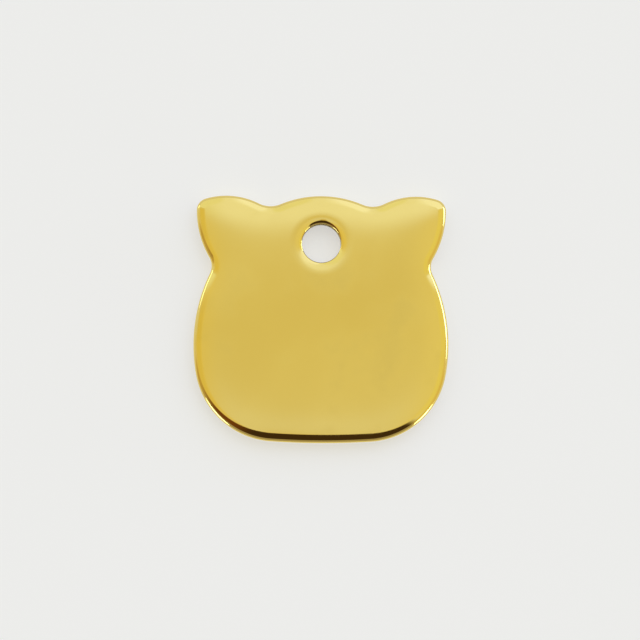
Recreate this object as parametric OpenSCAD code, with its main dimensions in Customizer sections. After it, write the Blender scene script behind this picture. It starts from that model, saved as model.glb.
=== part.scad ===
// Pet tag blank in the shape of a cat's head: one plate of polished metal with one hole for a split ring.
// The tag lies on its back. X runs across it, Y runs from the chin to the crown, and the face looks up, +Z.
// The origin is the middle of the tag's underside. Every size is in millimetres.

/* [Blank] */
// Width across the cheeks, the widest place of the tag
tag_w = 25.4; // [22:0.1:28]
// Height from the chin to the top of the crown and the ears
tag_h = 24.7; // [23.5:0.1:27]
// Thickness of the metal
tag_t = 1.8; // [1.6:0.1:3]

/* [Chin and cheeks] */
// Radius of the nearly flat chin
chin_r = 75; // [40:1:150]
// Radius of the lower corners, between the chin and the cheeks
jaw_r = 8.1; // [5:0.1:9.5]
// Radius of the cheeks
cheek_r = 16.6; // [14:0.1:20]
// Height of the widest place of the cheeks above the chin
cheek_rise = 9.8; // [9:0.1:11]

/* [Ears] */
// How far the outer side of an ear lies inside the widest place of the cheeks
ear_inset = 0.25; // [0:0.05:0.7]
// Distance from the outer side of an ear in to the middle of its top
ear_top_inset = 2.95; // [2.45:0.05:3.6]
// Radius of the top of an ear
ear_top_r = 7.2; // [6:0.1:9]
// Radius of the outer side of an ear
ear_side_r = 9.4; // [8:0.1:12]
// How far below its top an ear is widest
ear_side_drop = 1.5; // [1:0.1:2.5]
// Radius of the corner at the tip of an ear
ear_tip_r = 1.2; // [1.1:0.05:1.8]
// Radius of the notch between an ear and the cheek below it
neck_r = 1.7; // [1.2:0.1:2.5]

/* [Crown] */
// Radius of the crown between the ears
crown_r = 10.5; // [9:0.1:13]
// Radius of the two hollows between the crown and the ears
hollow_r = 2.6; // [1.8:0.1:4]

/* [Rounded edges] */
// Radius of the edge round the face
face_edge_r = 0.85; // [0.3:0.05:0.9]
// Radius of the edge round the back
back_edge_r = 0.6; // [0.2:0.05:0.65]

/* [Ring hole] */
// Diameter of the hole
hole_d = 3.9; // [3:0.1:4.5]
// Distance from the top of the crown down to the middle of the hole
hole_drop = 4.75; // [4.5:0.05:6.5]
// Radius of the hole's rim on the face
rim_face_r = 0.35; // [0.1:0.05:0.5]
// Radius of the hole's rim on the back
rim_back_r = 0.2; // [0.1:0.05:0.4]
// Width of the ring round the hole where the face sinks towards the rim
dish_w = 1.4; // [0.8:0.1:1.5]
// How deep the face sinks there
dish_depth = 0.06; // [0.02:0.01:0.12]

/* [Hidden] */
$fn = 96;

gold = [0.86, 0.69, 0.29];
full_turn = 360;                // degrees
overrun = tag_t;                // how far a cutting shape runs past what it cuts
rounding_steps = 8;             // straight steps round each rounded edge
outline_gap_share = 0.0004;     // how far a straight step may leave an arc of the outline, as a share of tag_w
largest_turn = 10;              // degrees that one straight step of the outline may turn
dish_fn = 720;                  // steps round the large arc of the sunken ring, of which only a short piece is used

// Centres of the five arcs on the right half that the sizes above place
chin_y = -tag_h / 2;
crown_y = tag_h / 2;
chin = [0, chin_y + chin_r];
cheek_x = tag_w / 2;
ear_side_x = cheek_x - ear_inset;
cheek = [cheek_x - cheek_r, chin_y + cheek_rise];
ear_side = [ear_side_x - ear_side_r, crown_y - ear_side_drop];
ear_top = [ear_side_x - ear_top_inset, crown_y - ear_top_r];
crown = [0, crown_y - crown_r];

// The other four arcs blend two neighbours, so each centre lies at known distances from both of theirs
jaw = meet(chin, chin_r - jaw_r, cheek, cheek_r - jaw_r, 1);
neck = meet(cheek, cheek_r + neck_r, ear_side, ear_side_r + neck_r, -1);
ear_tip = meet(ear_side, ear_side_r - ear_tip_r, ear_top, ear_top_r - ear_tip_r, 1);
hollow = meet(ear_top, ear_top_r + hollow_r, crown, crown_r + hollow_r, -1);

// The right half of the outline, from the chin up to the crown: centre and radius, negative where it curves in
arcs = [
    [chin, chin_r],
    [jaw, jaw_r],
    [cheek, cheek_r],
    [neck, -neck_r],
    [ear_side, ear_side_r],
    [ear_tip, ear_tip_r],
    [ear_top, ear_top_r],
    [hollow, -hollow_r],
    [crown, crown_r]
];
last_arc = len(arcs) - 1;
// Where one arc passes into the next, between the two ends on the centre line
joins = [
    [0, chin_y],
    for (i = [1:last_arc]) touch(arcs[i - 1], arcs[i]),
    [0, crown_y]
];

hole_r = hole_d / 2;
hole_at = [0, crown_y - hole_drop];
dish_r = hole_r + dish_w;
// The sunken ring is part of a large arc that leaves the face level, and the rim's arc touches it from inside
dish_arc_r = (dish_w * dish_w + dish_depth * dish_depth) / (2 * dish_depth);
dish_arc_at = [dish_r, tag_t - dish_arc_r];
rim_r = hole_r + rim_face_r;
rim_at = [rim_r, dish_arc_at[1] + sqrt(pow(dish_arc_r - rim_face_r, 2) - pow(dish_r - rim_r, 2))];
rim_join_r = touch([dish_arc_at, dish_arc_r], [rim_at, rim_face_r])[0];

// The point at distance ra from a and rb from b, left (side 1) or right (side -1) of the way from a to b
function meet(a, ra, b, rb, side) =
    let (way = b - a, gap = norm(way), along = (ra * ra - rb * rb + gap * gap) / (2 * gap))
    a + (way * along + side * sqrt(ra * ra - along * along) * [-way[1], way[0]]) / gap;

// The point where two arcs that pass into each other touch
function touch(a, b) = (a[0] * b[1] - b[0] * a[1]) / (b[1] - a[1]);

function heading(from, to) = atan2(to[1] - from[1], to[0] - from[0]);
// The angle from one heading on to another, counter-clockwise
function turn(from, to) = (to - from + 2 * full_turn) % full_turn;
function on_circle(centre, r, angle) = centre + r * [cos(angle), sin(angle)];
function arc_points(centre, r, from, to, steps) =
    [for (step = [0:steps]) on_circle(centre, r, from + (to - from) * step / steps)];

// Headings from the centre of arc i to its two ends: it runs clockwise where the outline curves in
function arc_from(i) = heading(arcs[i][0], joins[i]);
function arc_to(i) =
    let (end = heading(arcs[i][0], joins[i + 1]))
    arcs[i][1] > 0 ? arc_from(i) + turn(arc_from(i), end) : arc_from(i) - turn(end, arc_from(i));

// Stations along arc i, without its far end: a point of the outline and the direction that leads out of the metal
function arc_stations(i) =
    let (
        r = abs(arcs[i][1]),
        out = sign(arcs[i][1]),
        turn_per_step = min(largest_turn, 2 * acos(1 - outline_gap_share * tag_w / r)),
        steps = ceil(abs(arc_to(i) - arc_from(i)) / turn_per_step)
    )
    [
        for (k = [0:steps - 1])
            let (angle = arc_from(i) + (arc_to(i) - arc_from(i)) * k / steps)
            [on_circle(arcs[i][0], r, angle), out * [cos(angle), sin(angle)]]
    ];
function mirrored(v) = [-v[0], v[1]];

right_stations = [for (i = [0:last_arc]) each arc_stations(i)];
crown_station = [[0, crown_y], [0, 1]];
// The left half runs back down, without the first station, which is the chin's and lies on the centre line
left_stations = [
    for (k = [len(right_stations) - 1:-1:1])
        [mirrored(right_stations[k][0]), mirrored(right_stations[k][1])]
];
stations = concat(right_stations, [crown_station], left_stations);

// The rounded edge from the back up to the face, as distances in from the outline and heights
edge_section = concat(
    arc_points([back_edge_r, back_edge_r], back_edge_r, 270, 180, rounding_steps),
    arc_points([face_edge_r, tag_t - face_edge_r], face_edge_r, 180, 90, rounding_steps)
);

// The blank is a loft: each ring is the outline, drawn in and raised to one point of the rounded edge
module blank() {
    n = len(stations);
    last_ring = len(edge_section) - 1;
    polyhedron(
        points = [
            for (at = edge_section, station = stations)
                let (place = station[0] - at[0] * station[1])
                [place[0], place[1], at[1]]
        ],
        faces = [
            [for (k = [0:n - 1]) k],
            for (ring = [0:last_ring - 1], k = [0:n - 1])
                let (low = ring * n, high = low + n, next = (k + 1) % n)
                [low + k, high + k, high + next, low + next],
            [for (k = [n - 1:-1:0]) last_ring * n + k]
        ]
    );
}

// The ring of metal round the hole, with the sunken face, the rounded rims and the straight wall
module hole_surround() {
    translate(hole_at)
        rotate_extrude() {
            intersection() {
                translate(dish_arc_at)
                    circle(dish_arc_r, $fn = dish_fn);
                translate([rim_join_r, rim_at[1]])
                    square([dish_r - rim_join_r, overrun]);
            }
            intersection() {
                translate(rim_at)
                    circle(rim_face_r);
                translate([0, rim_at[1]])
                    square([rim_join_r, overrun]);
            }
            intersection() {
                translate([hole_r + rim_back_r, rim_back_r])
                    circle(rim_back_r);
                translate([0, rim_back_r - overrun])
                    square([hole_r + rim_back_r, overrun]);
            }
            translate([hole_r, rim_back_r])
                square([dish_w, rim_at[1] - rim_back_r]);
            translate([hole_r + rim_back_r, 0])
                square([dish_w - rim_back_r, rim_back_r]);
        }
}

module tag_plate() {
    color(gold) {
        difference() {
            blank();
            translate([hole_at[0], hole_at[1], -overrun])
                cylinder(h = tag_t + 2 * overrun, r = dish_r);
        }
        hole_surround();
    }
}

tag_plate();
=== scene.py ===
"""A pet tag blank in the shape of a cat's head, in polished gold-coloured metal, on a pale studio floor.

The frame gives the tag's box and body. The one piece made here stands for the CAD plate. It has the same
outline of tangent arcs, the same hole and the same back edge, on a finer mesh. It adds what polishing does:
the faces are slightly worn down, and the edge round the face and the rim of the hole are wide arcs that end
in a small corner.
"""

import math

import bpy
import numpy as np
from mathutils import Matrix, Vector
from mathutils.geometry import delaunay_2d_cdt


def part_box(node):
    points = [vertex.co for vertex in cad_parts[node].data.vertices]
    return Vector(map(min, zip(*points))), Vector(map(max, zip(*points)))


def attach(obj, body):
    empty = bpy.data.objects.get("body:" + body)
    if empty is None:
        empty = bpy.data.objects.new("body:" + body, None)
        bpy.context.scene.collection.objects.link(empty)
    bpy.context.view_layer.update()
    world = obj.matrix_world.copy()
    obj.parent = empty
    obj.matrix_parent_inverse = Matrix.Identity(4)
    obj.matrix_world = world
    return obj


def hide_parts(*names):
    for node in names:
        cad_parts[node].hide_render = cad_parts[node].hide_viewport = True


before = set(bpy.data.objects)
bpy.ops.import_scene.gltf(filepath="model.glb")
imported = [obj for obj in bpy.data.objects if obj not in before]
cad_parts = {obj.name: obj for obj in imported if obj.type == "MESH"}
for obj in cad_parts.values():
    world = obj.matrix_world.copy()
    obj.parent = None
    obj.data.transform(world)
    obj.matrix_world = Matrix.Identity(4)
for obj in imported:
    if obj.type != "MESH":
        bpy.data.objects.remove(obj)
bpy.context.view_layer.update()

MM = 0.001
FULL_TURN = 2 * math.pi
NODE = "tag_plate"
BODY = "root"
PIECE = "tag_plate_polished"

# The tag's box, in millimetres. The tag's other sizes are in millimetres too
box_low, box_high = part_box(NODE)
tag_w = (box_high.x - box_low.x) / MM
tag_t = (box_high.z - box_low.z) / MM
chin_y = box_low.y / MM
crown_y = box_high.y / MM

# Outline, as in the CAD
chin_r = 75
jaw_r = 8.1
cheek_r = 16.6
cheek_rise = 9.8
ear_inset = 0.25
ear_top_inset = 2.95
ear_top_r = 7.2
ear_side_r = 9.4
ear_side_drop = 1.5
ear_tip_r = 1.2
neck_r = 1.7
crown_r = 10.5
hollow_r = 2.6

# Rounded edges and the ring hole, as in the CAD
face_edge_w = 0.85
back_edge_r = 0.6
hole_r = 1.95
hole_drop = 4.75
rim_back_r = 0.2
dish_w = 1.4
hole_at = np.array([0.0, crown_y - hole_drop])

# The edge round the face is a wide arc over face_edge_w, then a small corner where the cut wall begins
edge_corner_r = 0.05
edge_corner_facing = math.radians(37)
face_edge_r = (face_edge_w - edge_corner_r) / math.cos(edge_corner_facing) + edge_corner_r

# The sunken ring round the hole bends three times: distance from the hole, width of the bend, added lean
dish_bends = [
    (1.4, 0.5, math.radians(1.0)),
    (0.95, 0.3, math.radians(1.1)),
    (0.82, 0.4, math.radians(1.6)),
]
# Close to the rim it steepens slowly, as an arc that starts this far from the hole
rim_blend_w = 0.62
rim_blend_r = 6
# The rim on the face is a wide arc too, then a small corner where the punched wall begins
rim_face_r = 0.48
rim_corner_r = 0.05
rim_corner_facing = math.radians(42)

# Polishing wears the faces down towards the outline, over a width of about wear_reach
wear_reach = 1.6
face_wear = 0.09
back_wear = 0.05
least_wear_inset = 0.1          # how far inside the outline its own wear is taken
wear_probe = 0.02               # half of the distance over which the wear's slope is measured
wear_block = 500                # points that are worked out at a time

# Fineness of the mesh
outline_step = 0.25
outline_turn = math.radians(4)
face_edge_steps = 16
back_edge_steps = 10
wall_steps = 2
rim_steps = 12
corner_steps = 4
hole_steps = 144
dish_rings = 14
dish_samples = 701
join_rounds = 20                # rounds in which the place where rim and face meet is found
grid_step = 0.5
grid_gap_share = 0.6            # least distance of a grid point from a ring, as a share of grid_step
same_place = 1e-7               # points closer than this are one point
no_rise = 1e-9                  # a normal that rises less than this is level


def heading(way):
    return math.atan2(way[1], way[0])


def meet(a, ra, b, rb, side):
    """The point ra from a and rb from b, left (side 1) or right (side -1) of the way from a to b."""
    way = b - a
    gap = np.hypot(*way)
    along = (ra * ra - rb * rb + gap * gap) / (2 * gap)
    across = side * math.sqrt(ra * ra - along * along)
    return a + (way * along + across * np.array([-way[1], way[0]])) / gap


def touch(a, b):
    """Where two arcs that pass into each other touch. A negative radius is an arc that curves in."""
    (centre_a, ra), (centre_b, rb) = a, b
    return (centre_a * rb - centre_b * ra) / (rb - ra)


def right_half_arcs():
    """The outline's arcs from the chin up to the crown: centre and radius, negative where it curves in."""
    cheek_x = tag_w / 2
    ear_side_x = cheek_x - ear_inset
    chin = np.array([0.0, chin_y + chin_r])
    cheek = np.array([cheek_x - cheek_r, chin_y + cheek_rise])
    ear_side = np.array([ear_side_x - ear_side_r, crown_y - ear_side_drop])
    ear_top = np.array([ear_side_x - ear_top_inset, crown_y - ear_top_r])
    crown = np.array([0.0, crown_y - crown_r])
    jaw = meet(chin, chin_r - jaw_r, cheek, cheek_r - jaw_r, 1)
    neck = meet(cheek, cheek_r + neck_r, ear_side, ear_side_r + neck_r, -1)
    ear_tip = meet(ear_side, ear_side_r - ear_tip_r, ear_top, ear_top_r - ear_tip_r, 1)
    hollow = meet(ear_top, ear_top_r + hollow_r, crown, crown_r + hollow_r, -1)
    return [
        (chin, chin_r),
        (jaw, jaw_r),
        (cheek, cheek_r),
        (neck, -neck_r),
        (ear_side, ear_side_r),
        (ear_tip, ear_tip_r),
        (ear_top, ear_top_r),
        (hollow, -hollow_r),
        (crown, crown_r),
    ]


def outline():
    """Points round the outline, counter-clockwise from the chin, and the directions out of the metal."""
    arcs = right_half_arcs()
    joins = [np.array([0.0, chin_y])]
    joins += [touch(a, b) for a, b in zip(arcs, arcs[1:])]
    joins += [np.array([0.0, crown_y])]
    points = []
    outward = []
    for (centre, signed_r), start, end in zip(arcs, joins, joins[1:]):
        r = abs(signed_r)
        first = heading(start - centre)
        span = heading(end - centre) - first
        span = span % FULL_TURN if signed_r > 0 else -((-span) % FULL_TURN)
        steps = math.ceil(max(abs(span) * r / outline_step, abs(span) / outline_turn))
        for k in range(steps):
            angle = first + span * k / steps
            ray = np.array([math.cos(angle), math.sin(angle)])
            points.append(centre + r * ray)
            outward.append(math.copysign(1, signed_r) * ray)
    points.append(joins[-1])
    outward.append(np.array([0.0, 1.0]))
    mirror = np.array([-1.0, 1.0])
    for k in range(len(points) - 2, 0, -1):
        points.append(points[k] * mirror)
        outward.append(outward[k] * mirror)
    return np.array(points), np.array(outward)


def inside(points, loop):
    """Which points lie inside a closed loop."""
    x, y = points[:, 0, None], points[:, 1, None]
    x1, y1 = loop[:, 0], loop[:, 1]
    x2, y2 = np.roll(x1, -1), np.roll(y1, -1)
    spans = (y1 > y) != (y2 > y)
    with np.errstate(divide="ignore", invalid="ignore"):
        left = x < x1 + (y - y1) * (x2 - x1) / (y2 - y1)
    return (spans & left).sum(1) % 2 == 1


def worn_share(points, loop):
    """How worn the faces are at points: 0 far inside, about 1 at a straight stretch of the outline.

    It is twice the share of a Gaussian window of wear_reach that lies outside the outline, worked out as an
    integral round the outline.
    """
    def seen(at):
        to = loop[None] - at[:, None]
        following = np.roll(to, -1, axis=1)
        cross = to[..., 0] * following[..., 1] - to[..., 1] * following[..., 0]
        turn = np.arctan2(cross, (to * following).sum(2))
        middle = (to + following) / 2
        return (np.exp(-(middle ** 2).sum(2) / (2 * wear_reach ** 2)) * turn).sum(1) / math.pi
    blocks = np.array_split(points, max(1, len(points) // wear_block))
    return np.concatenate([seen(block) for block in blocks])


def wear(points, loop):
    """The worn share at points and its gradient there."""
    across = np.array([wear_probe, 0.0])
    up = np.array([0.0, wear_probe])
    value = worn_share(points, loop)
    slope_x = (worn_share(points + across, loop) - worn_share(points - across, loop)) / (2 * wear_probe)
    slope_y = (worn_share(points + up, loop) - worn_share(points - up, loop)) / (2 * wear_probe)
    return value, np.stack([slope_x, slope_y], 1)


class Plate:
    """Collects the plate's vertices with their true normals, and its faces."""

    def __init__(self, loop):
        self.loop = loop
        self.places = []
        self.normals = []
        self.faces = []
        self.count = 0

    def add(self, points, heights, lean, rise, wear_at=None):
        """Adds vertices and returns their numbers.

        lean and rise are the level part and the height of each normal before wear. The wear is taken at
        wear_at where that is given, because on the outline itself its slope can't be worked out.
        """
        value, slope = wear(points if wear_at is None else wear_at, self.loop)
        level_facing = np.abs(rise) < no_rise
        upper = np.where(level_facing, heights > tag_t / 2, rise > 0)
        heights = heights - np.where(upper, face_wear, -back_wear) * value
        depth = np.abs(rise) * np.where(upper, face_wear, back_wear)
        normal = np.column_stack([lean + depth[:, None] * slope, rise])
        normal /= np.linalg.norm(normal, axis=1)[:, None]
        self.places.append(np.column_stack([points, heights]))
        self.normals.append(normal)
        first = self.count
        self.count += len(points)
        return np.arange(first, self.count)

    def bridge(self, low, high):
        """Quads between two rings of equal length, facing right of the way round when low is below high."""
        after_low, after_high = np.roll(low, -1), np.roll(high, -1)
        self.faces += np.column_stack([low, after_low, after_high, high]).tolist()

    def mesh(self, name):
        places = np.concatenate(self.places) * MM
        normals = np.concatenate(self.normals)
        mesh = bpy.data.meshes.new(name)
        mesh.from_pydata(places.tolist(), [], self.faces)
        mesh.update()
        mesh.polygons.foreach_set("use_smooth", [True] * len(mesh.polygons))
        mesh.normals_split_custom_set_from_vertices(normals.tolist())
        return mesh


def edge_profile():
    """The rounded edge from the back up to the face: rows of inset, height and the angle that it faces."""
    rows = []
    for k in range(back_edge_steps + 1):
        facing = -math.pi / 2 * (1 - k / back_edge_steps)
        inset = back_edge_r * (1 - math.cos(facing))
        rows.append((inset, back_edge_r * (1 + math.sin(facing)), facing))
    arc_z = tag_t - face_edge_r
    corner_z = arc_z + (face_edge_r - edge_corner_r) * math.sin(edge_corner_facing)
    for k in range(1, wall_steps):
        rows.append((0.0, back_edge_r + (corner_z - back_edge_r) * k / wall_steps, 0.0))
    for k in range(corner_steps):
        facing = edge_corner_facing * k / corner_steps
        inset = edge_corner_r * (1 - math.cos(facing))
        rows.append((inset, corner_z + edge_corner_r * math.sin(facing), facing))
    for k in range(face_edge_steps + 1):
        facing = edge_corner_facing + (math.pi / 2 - edge_corner_facing) * k / face_edge_steps
        inset = face_edge_w - face_edge_r * math.cos(facing)
        rows.append((inset, arc_z + face_edge_r * math.sin(facing), facing))
    return rows


def dish(r):
    """Height of the face at distance r from the hole's middle, and the angle that it leans to the hole."""
    steps = np.linspace(hole_r + dish_w, hole_r, dish_samples)
    leans = np.clip(hole_r + rim_blend_w - steps, 0, None) / rim_blend_r
    for from_hole, width, lean in dish_bends:
        share = np.clip((hole_r + from_hole - steps) / width, 0, 1)
        leans = leans + lean * share ** 2 * (3 - 2 * share)
    drops = np.tan(leans) * (steps[0] - steps[1])
    heights = tag_t - np.cumsum(drops) + drops / 2
    return np.interp(r, steps[::-1], heights[::-1]), np.interp(r, steps[::-1], leans[::-1])


def hole_profile():
    """The hole's wall from the face down to the back: rows of radius, height and the angle that it faces."""
    corner_r = hole_r + rim_corner_r
    rim_r = corner_r + (rim_face_r - rim_corner_r) * math.cos(rim_corner_facing)
    # The rim's arc begins where it leans as the sunken face does
    join_r = rim_r
    for _ in range(join_rounds):
        join_z, lean = dish(join_r)
        join_r = rim_r - rim_face_r * math.sin(lean)
    rim_z = join_z - rim_face_r * math.cos(lean)
    corner_z = rim_z + (rim_face_r - rim_corner_r) * math.sin(rim_corner_facing)
    rows = []
    for k in range(rim_steps + 1):
        facing = math.pi / 2 - lean + (rim_corner_facing - math.pi / 2 + lean) * k / rim_steps
        rows.append((rim_r - rim_face_r * math.cos(facing), rim_z + rim_face_r * math.sin(facing), facing))
    for k in range(1, corner_steps + 1):
        facing = rim_corner_facing * (1 - k / corner_steps)
        radius = corner_r - rim_corner_r * math.cos(facing)
        rows.append((radius, corner_z + rim_corner_r * math.sin(facing), facing))
    for k in range(1, wall_steps):
        rows.append((hole_r, corner_z + (rim_back_r - corner_z) * k / wall_steps, 0.0))
    for k in range(rim_steps + 1):
        facing = -math.pi / 2 * k / rim_steps
        radius = hole_r + rim_back_r * (1 - math.cos(facing))
        rows.append((radius, rim_back_r * (1 + math.sin(facing)), facing))
    return rows


def hole_ring(r):
    """Points round the hole at distance r from its middle, and the directions out from there."""
    angle = FULL_TURN * np.arange(hole_steps) / hole_steps
    ray = np.column_stack([np.cos(angle), np.sin(angle)])
    return hole_at + r * ray, ray


def inner_points(outer, hole_edge_r, ring_radii):
    """Points inside a face: rings round the hole, then a grid out to the outer ring."""
    rings = [hole_ring(r)[0] for r in ring_radii]
    clear_r = (ring_radii[-1] if ring_radii else hole_edge_r) + grid_gap_share * grid_step
    rows = []
    row_gap = grid_step * math.sqrt(3) / 2
    for j, y in enumerate(np.arange(chin_y, crown_y, row_gap)):
        x = np.arange(grid_step / 2 * (j % 2), tag_w / 2, grid_step)
        x = np.concatenate([-x[x > 0][::-1], x])
        rows.append(np.column_stack([x, np.full(len(x), y)]))
    grid = np.concatenate(rows)
    grid = grid[inside(grid, outer)]
    to_outer = np.array([np.hypot(*(outer - p).T).min() for p in grid])
    to_hole = np.hypot(*(grid - hole_at).T)
    grid = grid[(to_outer > grid_gap_share * grid_step) & (to_hole > clear_r)]
    return np.concatenate(rings + [grid])


def triangles_between(outer, hole, between):
    """Triangles that fill a face from its outer ring to the hole, and twice the area of each.

    They number the points of the three lists in a row. The area is negative where a triangle faces down.
    """
    points = np.concatenate([outer, hole, between])
    n, m = len(outer), len(hole)
    edges = [(k, (k + 1) % n) for k in range(n)] + [(n + k, n + (k + 1) % m) for k in range(m)]
    all_triangles = 0
    made = delaunay_2d_cdt([Vector(p) for p in points], edges, [], all_triangles, same_place)
    source = np.array([origin[0] for origin in made[3]])
    triangles = source[np.array(made[2])]
    middles = points[triangles].mean(1)
    triangles = triangles[inside(middles, outer) & ~inside(middles, hole)]
    a, b, c = (points[triangles[:, k]] for k in range(3))
    area = (b - a)[:, 0] * (c - a)[:, 1] - (b - a)[:, 1] * (c - a)[:, 0]
    return triangles, area


def fill(plate, outer_ids, outer, hole_ids, hole_edge_r, ring_radii, top):
    """One face of the plate, between its outer ring and the edge of the hole."""
    between = inner_points(outer, hole_edge_r, ring_radii)
    if top:
        r = np.hypot(*(between - hole_at).T)
        heights, lean = dish(r)
        to_hole = (hole_at - between) / r[:, None]
        inner_ids = plate.add(between, heights, to_hole * np.sin(lean)[:, None], np.cos(lean))
    else:
        flat = np.zeros(len(between))
        inner_ids = plate.add(between, flat, np.zeros_like(between), -np.ones(len(between)))
    hole, _ = hole_ring(hole_edge_r)
    ids = np.concatenate([outer_ids, hole_ids, inner_ids])
    triangles, area = triangles_between(outer, hole, between)
    wrong = (area < 0) if top else (area > 0)
    triangles[wrong] = triangles[wrong][:, ::-1]
    plate.faces += ids[triangles].tolist()


def tag_mesh():
    points, outward = outline()
    plate = Plate(points)
    rings = []
    for inset, height, facing in edge_profile():
        at = points - inset * outward
        heights = np.full(len(at), height)
        rise = np.full(len(at), math.sin(facing))
        wear_at = points - max(inset, least_wear_inset) * outward
        rings.append((at, plate.add(at, heights, math.cos(facing) * outward, rise, wear_at)))
    for (_, low), (_, high) in zip(rings, rings[1:]):
        plate.bridge(low, high)
    hole_rings = []
    for radius, height, facing in hole_profile():
        at, ray = hole_ring(radius)
        heights = np.full(hole_steps, height)
        rise = np.full(hole_steps, math.sin(facing))
        hole_rings.append((radius, plate.add(at, heights, -math.cos(facing) * ray, rise)))
    for (_, upper), (_, lower) in zip(hole_rings, hole_rings[1:]):
        plate.bridge(upper, lower)
    rim_r, rim_ids = hole_rings[0]
    dish_step = (hole_r + dish_w - rim_r) / dish_rings
    dish_radii = [rim_r + dish_step * (k + 1) for k in range(dish_rings)]
    face, face_ids = rings[-1]
    fill(plate, face_ids, face, rim_ids, rim_r, dish_radii, top=True)
    back_rim_r, back_rim_ids = hole_rings[-1]
    back, back_ids = rings[0]
    fill(plate, back_ids, back, back_rim_ids, back_rim_r, [], top=False)
    return plate.mesh(PIECE)


class Nodes:
    """Short names for building a node tree."""

    def __init__(self, tree):
        self.tree = tree
        tree.nodes.clear()

    def add(self, kind, values=None, **settings):
        node = self.tree.nodes.new(kind)
        for name, value in settings.items():
            setattr(node, name, value)
        for name, value in (values or {}).items():
            self.plug(value, node.inputs[name])
        return node

    def plug(self, value, socket):
        if isinstance(value, bpy.types.NodeSocket):
            self.tree.links.new(value, socket)
        else:
            socket.default_value = value

    def math(self, operation, a, b=0.0):
        return self.add("ShaderNodeMath", {0: a, 1: b}, operation=operation).outputs[0]

    def noise(self, place, per_metre, detail):
        values = {"Vector": place, "Scale": per_metre, "Detail": detail}
        return self.add("ShaderNodeTexNoise", values).outputs["Fac"]

    def smooth(self, value, ends, low=0.0, high=1.0):
        """Goes smoothly from low at the first of the ends to high at the second."""
        inputs = {"Value": value, "From Min": ends[0], "From Max": ends[1], "To Min": low, "To Max": high}
        return self.add("ShaderNodeMapRange", inputs, interpolation_type="SMOOTHSTEP").outputs["Result"]

    def fade(self, value, ends):
        """Goes smoothly from 1 at the first of the ends to 0 at the second."""
        return self.smooth(value, ends, 1.0, 0.0)

    def mix(self, share, a, b):
        """Mixes two colours. The node keeps its colour sockets behind those for numbers and vectors."""
        return self.add("ShaderNodeMix", {0: share, 6: a, 7: b}, data_type="RGBA").outputs[2]

    def mix_shaders(self, share, a, b):
        return self.add("ShaderNodeMixShader", {0: share, 1: a, 2: b}).outputs[0]

    def finish(self, kind, surface):
        self.plug(surface, self.add(kind).inputs["Surface"])


def rgb(r, g, b):
    return (r, g, b, 1.0)


# Colours of the metal
gold_deep = rgb(0.742, 0.557, 0.120)
gold_light = rgb(0.762, 0.578, 0.130)
gold_dull = rgb(0.661, 0.490, 0.099)

# Its slow drift of colour and its smudges: how many there are in a metre, and the values of the noise between
# which each one grows
drift_per_metre = 90.0
drift_ends = (0.35, 0.65)
smudges_per_metre = 210.0
smudge_ends = (0.56, 0.74)
smudge_strength = 0.35
rough_ends = (0.40, 0.75)
least_roughness = 0.055
most_roughness = 0.13

# Its buffing marks and the waviness of the face. The depths are in metres
marks_per_metre = 900.0
marks_turn = 0.5
marks_narrowing = 22
marks_strength = 0.12
marks_depth = 0.000002
waves_per_metre = 150.0
waves_strength = 0.25
waves_depth = 0.00002

# Its clear lacquer
lacquer_roughness = 0.06
lacquer_ior = 1.5


def polished_gold():
    """Mirror-polished gold-coloured metal, with faint buffing marks, smudges and a slight drift of colour."""
    material = bpy.data.materials.new("polished_gold")
    material.use_nodes = True
    n = Nodes(material.node_tree)
    place = n.add("ShaderNodeTexCoord").outputs["Object"]

    # A slow drift of the metal's colour over the face
    drift = n.noise(place, drift_per_metre, detail=2.0)
    gold = n.mix(n.smooth(drift, drift_ends), gold_deep, gold_light)

    # Smudges left by handling: a few soft patches that dull the polish
    smudge = n.noise(place, smudges_per_metre, detail=3.0)
    smudged = n.math("MULTIPLY", n.smooth(smudge, smudge_ends), smudge_strength)
    colour = n.mix(smudged, gold, gold_dull)
    roughness = n.smooth(smudge, rough_ends, least_roughness, most_roughness)

    # Buffing marks, fine and almost parallel, and the slight waviness of a hand-polished face
    stretch = {"Vector": place, "Rotation": (0, 0, marks_turn), "Scale": (1, marks_narrowing, 1)}
    stretched = n.add("ShaderNodeMapping", stretch).outputs[0]
    marks = n.noise(stretched, marks_per_metre, detail=4.0)
    waves = n.noise(place, waves_per_metre, detail=1.0)
    wavy = n.add("ShaderNodeBump", {
        "Height": waves,
        "Strength": waves_strength,
        "Distance": waves_depth,
    })
    marked = n.add("ShaderNodeBump", {
        "Height": marks,
        "Normal": wavy.outputs[0],
        "Strength": marks_strength,
        "Distance": marks_depth,
    })

    # A thin clear lacquer whitens what the rounded edges reflect
    shader = n.add("ShaderNodeBsdfPrincipled", {
        "Base Color": colour,
        "Metallic": 1.0,
        "Roughness": roughness,
        "Normal": marked.outputs[0],
        "Coat Weight": 1.0,
        "Coat Roughness": lacquer_roughness,
        "Coat IOR": lacquer_ior,
    })
    n.finish("ShaderNodeOutputMaterial", shader.outputs[0])
    return material


def make_tag():
    tag = bpy.data.objects.new(PIECE, tag_mesh())
    bpy.context.scene.collection.objects.link(tag)
    tag.data.materials.append(polished_gold())
    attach(tag, BODY)
    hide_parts(NODE)


# Camera: almost overhead, from the chin's side. Angles in degrees, distances in millimetres
camera_tilt = 4.5
camera_to_left = 1.0
camera_roll = 0.2
camera_distance = 300
picture_px = 640
px_per_mm = 10.02
sensor_mm = 36
# The point of the tag that the camera turns about, and how far from the picture's middle it shows
pivot = np.array([0.0, -0.15, 0.8])
pivot_right_px = 1.0
pivot_down_px = 1.2
# Nearest and furthest distance that it sees, in metres
clip_ends = (0.01, 10)


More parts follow.
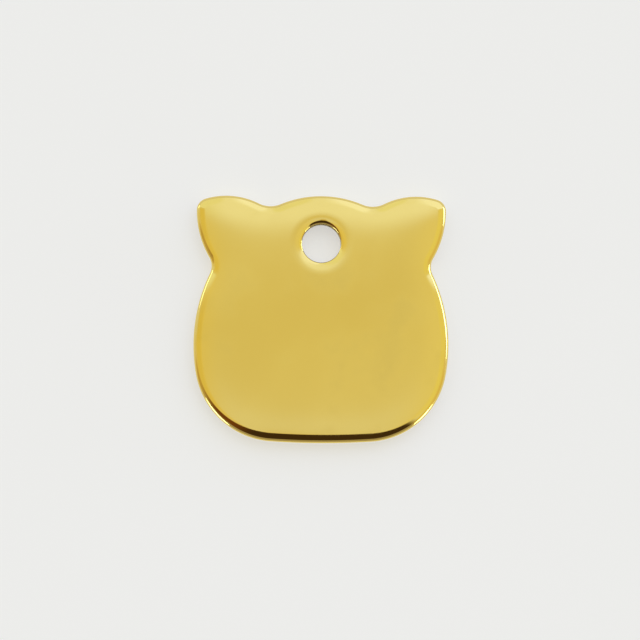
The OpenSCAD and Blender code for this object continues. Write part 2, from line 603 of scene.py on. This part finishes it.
def make_camera():
    tilt, left, roll = (math.radians(a) for a in (camera_tilt, camera_to_left, camera_roll))
    back = Vector((-math.sin(left), -math.sin(tilt) * math.cos(left), math.cos(tilt) * math.cos(left)))
    level = Vector((0, 1, 0)).cross(back).normalized()
    up = back.cross(level)
    right = level * math.cos(roll) + up * math.sin(roll)
    up = up * math.cos(roll) - level * math.sin(roll)
    aim = Vector(pivot) - right * (pivot_right_px / px_per_mm) + up * (pivot_down_px / px_per_mm)
    data = bpy.data.cameras.new("camera")
    data.sensor_width = sensor_mm
    data.lens = px_per_mm * camera_distance / picture_px * sensor_mm
    data.clip_start, data.clip_end = clip_ends
    camera = bpy.data.objects.new("camera", data)
    turned = Matrix((right, up, back)).transposed().to_4x4()
    camera.matrix_world = Matrix.Translation((aim + back * camera_distance) * MM) @ turned
    bpy.context.scene.collection.objects.link(camera)
    bpy.context.scene.camera = camera


# Small low lamps: name, azimuth and zenith in degrees, width and height in metres, brightness of the surface
lamps = [
    ("lamp_right", 14, 85.5, 0.38, 0.10, 8),
    ("lamp_front_right", 321, 85.5, 0.26, 0.10, 8),
    ("lamp_back_left", 155, 86, 0.20, 0.08, 3),
    ("lamp_front_left", 219, 85.5, 0.34, 0.10, 6),
]
lamp_distance = 0.7
daylight = (0.66, 0.80, 1.0)


def towards(azimuth, zenith):
    """The direction at an azimuth, counter-clockwise from +X, and an angle from straight up, in degrees."""
    a, z = math.radians(azimuth), math.radians(zenith)
    return Vector((math.cos(a) * math.sin(z), math.sin(a) * math.sin(z), math.cos(z)))


def make_lamp(name, azimuth, zenith, width, height, radiance):
    """An oval soft panel that faces the tag. Its power follows from how bright its surface shows."""
    data = bpy.data.lights.new(name, "AREA")
    data.shape = "ELLIPSE"
    data.size = width
    data.size_y = height
    area = math.pi * width * height / 4
    data.energy = radiance * math.pi * area
    data.color = daylight
    lamp = bpy.data.objects.new(name, data)
    way = towards(azimuth, zenith)
    lamp.location = way * lamp_distance
    lamp.rotation_mode = "QUATERNION"
    lamp.rotation_quaternion = way.to_track_quat("Z", "Y")
    lamp.visible_camera = False
    bpy.context.scene.collection.objects.link(lamp)


# The room that the metal reflects, over directions x, y, z of length 1. Each pair of ends says where a change
# begins and where it is complete. They and the spreads are parts of that length
overhead = rgb(0.93, 0.93, 0.90)
round_camera = rgb(0.885, 0.83, 0.57)
camera_y = 0.08
round_camera_ends = (0.0, 0.09)

beside_left = rgb(0.95, 0.85, 0.44)
beside_right = rgb(0.96, 0.91, 0.62)
far_left = rgb(0.91, 0.79, 0.33)
far_right = rgb(0.99, 0.94, 0.48)
beside_ends = (0.04, 0.14)
beside_far_ends = (0.12, 0.50)
beside_last_ends = (0.85, 0.97)
left_right_ends = (-0.04, 0.04)
beside_drift = 0.15             # how far its middle line shifts forward for each step outward
beside_spread = 0.3             # how far it widens for each step outward
beside_core = 0.05
beside_soft_w = 0.23

behind_left = rgb(1.04, 1.11, 1.05)
behind_middle = rgb(1.09, 1.17, 1.40)
behind_right = rgb(1.22, 1.36, 1.95)
behind_low = rgb(0.80, 0.80, 0.79)
behind_left_ends = (-0.10, -0.02)
behind_right_ends = (0.02, 0.18)
behind_low_ends = (0.06, 0.18)
behind_spread = 0.3             # how far its edge falls back for each step outward
behind_ends = (0.09, 0.17)

front_low = rgb(0.88, 0.74, 0.36)
front_low_ends = (0.35, 0.65)
front_ends = (-0.15, 0.15)

# The dark card in front of the tag. Its ends are angles in radians, from straight up for the edge and the
# fringe and from straight ahead for the others. Only those of its grey are heights z
card_dark = rgb(0.06, 0.035, 0.02)
card_brown = rgb(0.20, 0.075, 0.02)
card_gold = rgb(0.66, 0.50, 0.20)
card_grey = rgb(0.48, 0.43, 0.38)
card_fringe = rgb(0.80, 0.66, 0.30)
card_level_turn = 0.35          # its upper edge is level up to here
card_fall = 0.95                # how fast the edge falls beyond that
card_edge_ends = (0.06, 0.13)
card_fringe_ends = (0.02, 0.07)
card_left_ends = (-1.62, -1.40)
card_right_ends = (0.64, 0.82)
card_brown_ends = (-0.70, -0.30)
card_gold_ends = (-1.40, -0.90)
card_grey_ends = (0.33, 0.42)

# What the camera sees behind the tag instead of the room
backdrop = rgb(0.84, 0.84, 0.83)


def card_shares(n, zenith, to_right):
    """How much of the fringe and of the card itself there is in a direction."""
    past_level = n.math("SUBTRACT", n.math("ABSOLUTE", to_right), card_level_turn)
    upper_edge = n.math("MULTIPLY", n.math("MAXIMUM", past_level, 0.0), card_fall)
    below_edge = n.math("SUBTRACT", zenith, upper_edge)
    from_left = n.smooth(to_right, card_left_ends)
    from_right = n.fade(to_right, card_right_ends)
    between = n.math("MULTIPLY", from_left, from_right)
    fringe = n.math("MULTIPLY", n.smooth(below_edge, card_fringe_ends), between)
    card = n.math("MULTIPLY", n.smooth(below_edge, card_edge_ends), between)
    return fringe, card


def beside_share(n, y, wide):
    """How much of the warm zones to the left and right of the camera there is in a direction."""
    off_line = n.math("ABSOLUTE", n.math("ADD", y, n.math("MULTIPLY", wide, beside_drift)))
    spread = n.math("MULTIPLY", wide, beside_spread)
    soft_end = n.math("ADD", spread, beside_soft_w)
    across = n.fade(n.math("SUBTRACT", off_line, spread), (beside_core, soft_end))
    near_end = n.smooth(wide, beside_ends)
    far_end = n.fade(wide, beside_last_ends)
    return n.math("MULTIPLY", n.math("MULTIPLY", near_end, across), far_end)


def make_world():
    """A soft white studio, with warm zones to both sides and a dark card in front of the tag."""
    world = bpy.data.worlds.new("studio")
    world.use_nodes = True
    n = Nodes(world.node_tree)
    way = n.add("ShaderNodeTexCoord").outputs["Generated"]
    axes = n.add("ShaderNodeSeparateXYZ", {"Vector": way})
    x, y, z = (axes.outputs[k] for k in range(3))
    wide = n.math("ABSOLUTE", x)
    forward = n.math("MULTIPLY", y, -1.0)
    zenith = n.math("ARCCOSINE", z)
    to_right = n.math("ARCTAN2", x, forward)

    # Overhead: a little dimmer and warmer round the camera
    from_camera = n.math("ABSOLUTE", n.math("SUBTRACT", y, camera_y))
    room = n.mix(n.smooth(from_camera, round_camera_ends), round_camera, overhead)

    # To both sides: warm, and warmer further out
    right_half = n.smooth(x, left_right_ends)
    near_sides = n.mix(right_half, beside_left, beside_right)
    far_sides = n.mix(right_half, far_left, far_right)
    sides = n.mix(n.smooth(wide, beside_far_ends), near_sides, far_sides)
    room = n.mix(beside_share(n, y, wide), room, sides)

    # Behind the tag: brighter and whiter, most so to the right, and plain above the floor
    back = n.mix(n.smooth(x, behind_left_ends), behind_left, behind_middle)
    back = n.mix(n.smooth(x, behind_right_ends), back, behind_right)
    back = n.mix(n.smooth(z, behind_low_ends), behind_low, back)
    behind = n.math("SUBTRACT", y, n.math("MULTIPLY", wide, behind_spread))
    room = n.mix(n.smooth(behind, behind_ends), room, back)

    # Low down in front: warmer
    low = n.math("MULTIPLY", n.fade(z, front_low_ends), n.smooth(forward, front_ends))
    room = n.mix(low, room, front_low)

    # The dark card behind its warm fringe: brown and then gold to the left, and grey low down
    fringe, card = card_shares(n, zenith, to_right)
    room = n.mix(fringe, room, card_fringe)
    colour = n.mix(n.smooth(to_right, card_brown_ends), card_brown, card_dark)
    colour = n.mix(n.fade(z, card_grey_ends), colour, card_grey)
    colour = n.mix(n.smooth(to_right, card_gold_ends), card_gold, colour)
    room = n.mix(card, room, colour)

    seen = n.add("ShaderNodeLightPath").outputs["Is Camera Ray"]
    lit = n.add("ShaderNodeBackground", {"Color": room, "Strength": 1.0})
    plain = n.add("ShaderNodeBackground", {"Color": backdrop, "Strength": 1.0})
    n.finish("ShaderNodeOutputWorld", n.mix_shaders(seen, lit.outputs[0], plain.outputs[0]))
    bpy.context.scene.world = world


# Floor. Its radius and the gap under the tag are in metres
floor_r = 1.5
floor_sides = 64
floor_gap = 0.00001
floor_colour = rgb(0.88, 0.88, 0.88)
paper_colour = rgb(0.95, 0.96, 0.98)
paper_to_camera = 0.55
paper_to_metal = 0.9
painted_hole_shade_ends = (2.0 * MM, 2.6 * MM)   # distances from the middle of the hole between which the paper begins; nearer in, the metal sees painted shade


def make_floor():
    angles = np.linspace(0, FULL_TURN, floor_sides + 1)[:-1]
    ring = [(floor_r * math.cos(a), floor_r * math.sin(a), -floor_gap) for a in angles]
    mesh = bpy.data.meshes.new("floor")
    mesh.from_pydata(ring, [], [list(range(floor_sides))])
    material = bpy.data.materials.new("pale_floor")
    material.use_nodes = True
    n = Nodes(material.node_tree)
    matt = n.add("ShaderNodeBsdfDiffuse", {"Color": floor_colour})
    paper = n.add("ShaderNodeEmission", {"Color": paper_colour, "Strength": 1.0})
    # To the camera the floor is in part white paper. To the metal it is almost so, but not under the hole:
    # there the paper is left out by position, as painted shade that the rim of the hole reflects
    place = n.add("ShaderNodeTexCoord").outputs["Object"]
    middle = (0, hole_at[1] * MM, 0)
    from_hole = n.add("ShaderNodeVectorMath", {0: place, 1: middle}, operation="DISTANCE")
    outside_painted_hole_shade = n.smooth(from_hole.outputs["Value"], painted_hole_shade_ends)
    rays = n.add("ShaderNodeLightPath")
    to_camera = n.math("MULTIPLY", rays.outputs["Is Camera Ray"], paper_to_camera)
    to_metal = n.math("MULTIPLY", rays.outputs["Is Glossy Ray"], paper_to_metal)
    share = n.math("MAXIMUM", to_camera, n.math("MULTIPLY", to_metal, outside_painted_hole_shade))
    n.finish("ShaderNodeOutputMaterial", n.mix_shaders(share, matt.outputs[0], paper.outputs[0]))
    mesh.materials.append(material)
    floor = bpy.data.objects.new("floor", mesh)
    bpy.context.scene.collection.objects.link(floor)


make_camera()
make_tag()
make_floor()
make_world()
for lamp in lamps:
    make_lamp(*lamp)

bpy.context.scene.view_settings.view_transform = "Standard"
